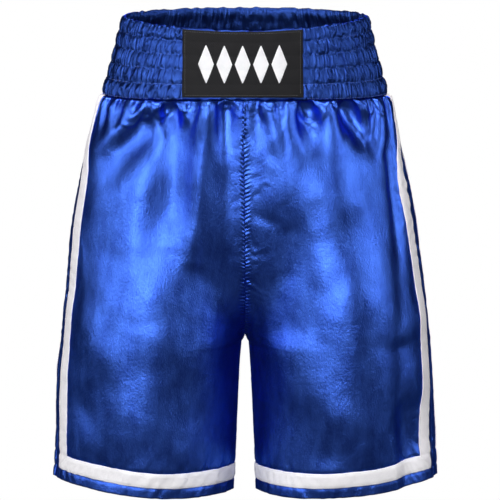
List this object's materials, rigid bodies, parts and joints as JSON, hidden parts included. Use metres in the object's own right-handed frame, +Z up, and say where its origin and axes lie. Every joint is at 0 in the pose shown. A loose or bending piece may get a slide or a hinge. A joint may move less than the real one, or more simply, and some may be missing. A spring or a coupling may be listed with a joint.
{
  "type": "boxing shorts",
  "caption": "Knee-length satin boxing trunks with a wide shirred elastic waistband, a plain woven waist patch and white tape along the side seams and hems; both legs swing.",
  "frame": {"origin": "centre of the waist opening, in the plane of the waistband's top edge", "axes": "+Z up towards the wearer's chest, -Y the way the wearer faces, +X the wearer's left"},
  "size_m": [0.4684, 0.2204, 0.572],
  "materials": {
    "satin_blue": "satin",
    "satin_white": "satin",
    "thread_white": "matte",
    "thread_blue": "matte",
    "seam_overlock": "matte",
    "elastic_white": "matte",
    "patch_black": "woven",
    "thread_black": "matte",
    "motif_white": "embroidered",
    "label_white": "matte"
  },
  "bodies": {
    "hips": {"back_panel_hip_left": "satin_blue", "back_panel_hip_right": "satin_blue", "care_label": "label_white", "front_panel_hip_left": "satin_blue", "front_panel_hip_right": "satin_blue", "patch_motif": "motif_white", "patch_stitching": "thread_black", "rise_seam_allowance_back": "seam_overlock", "rise_seam_allowance_front": "seam_overlock", "side_seam_allowance_hip_left": "seam_overlock", "side_seam_allowance_hip_right": "seam_overlock", "side_tape_back_hip_left": "satin_white", "side_tape_back_hip_right": "satin_white", "side_tape_front_hip_left": "satin_white", "side_tape_front_hip_right": "satin_white", "side_tape_stitching_hip_left": "thread_white", "side_tape_stitching_hip_right": "thread_white", "waist_patch": "patch_black", "waistband_casing": "satin_blue", "waistband_elastic": "elastic_white", "waistband_row_stitching": "thread_blue"},
    "left_leg": {"back_panel_leg_left": "satin_blue", "front_panel_leg_left": "satin_blue", "hem_tape_back_left": "satin_white", "hem_tape_front_left": "satin_white", "hem_tape_stitching_left": "thread_white", "inseam_allowance_left": "seam_overlock", "side_seam_allowance_leg_left": "seam_overlock", "side_tape_back_leg_left": "satin_white", "side_tape_front_leg_left": "satin_white", "side_tape_stitching_leg_left": "thread_white"},
    "right_leg": {"back_panel_leg_right": "satin_blue", "front_panel_leg_right": "satin_blue", "hem_tape_back_right": "satin_white", "hem_tape_front_right": "satin_white", "hem_tape_stitching_right": "thread_white", "inseam_allowance_right": "seam_overlock", "side_seam_allowance_leg_right": "seam_overlock", "side_tape_back_leg_right": "satin_white", "side_tape_front_leg_right": "satin_white", "side_tape_stitching_leg_right": "thread_white"}
  },
  "joints": [
    {"name": "left_leg_swing", "type": "hinge", "parent": "hips", "child": "left_leg", "pos_m": [0.12, 0.0021, -0.27493], "axis": [-1, 0, 0], "range_deg": [-20, 45]},
    {"name": "right_leg_swing", "type": "hinge", "parent": "hips", "child": "right_leg", "pos_m": [-0.12, 0.0021, -0.27493], "axis": [-1, 0, 0], "range_deg": [-20, 45]}
  ]
}
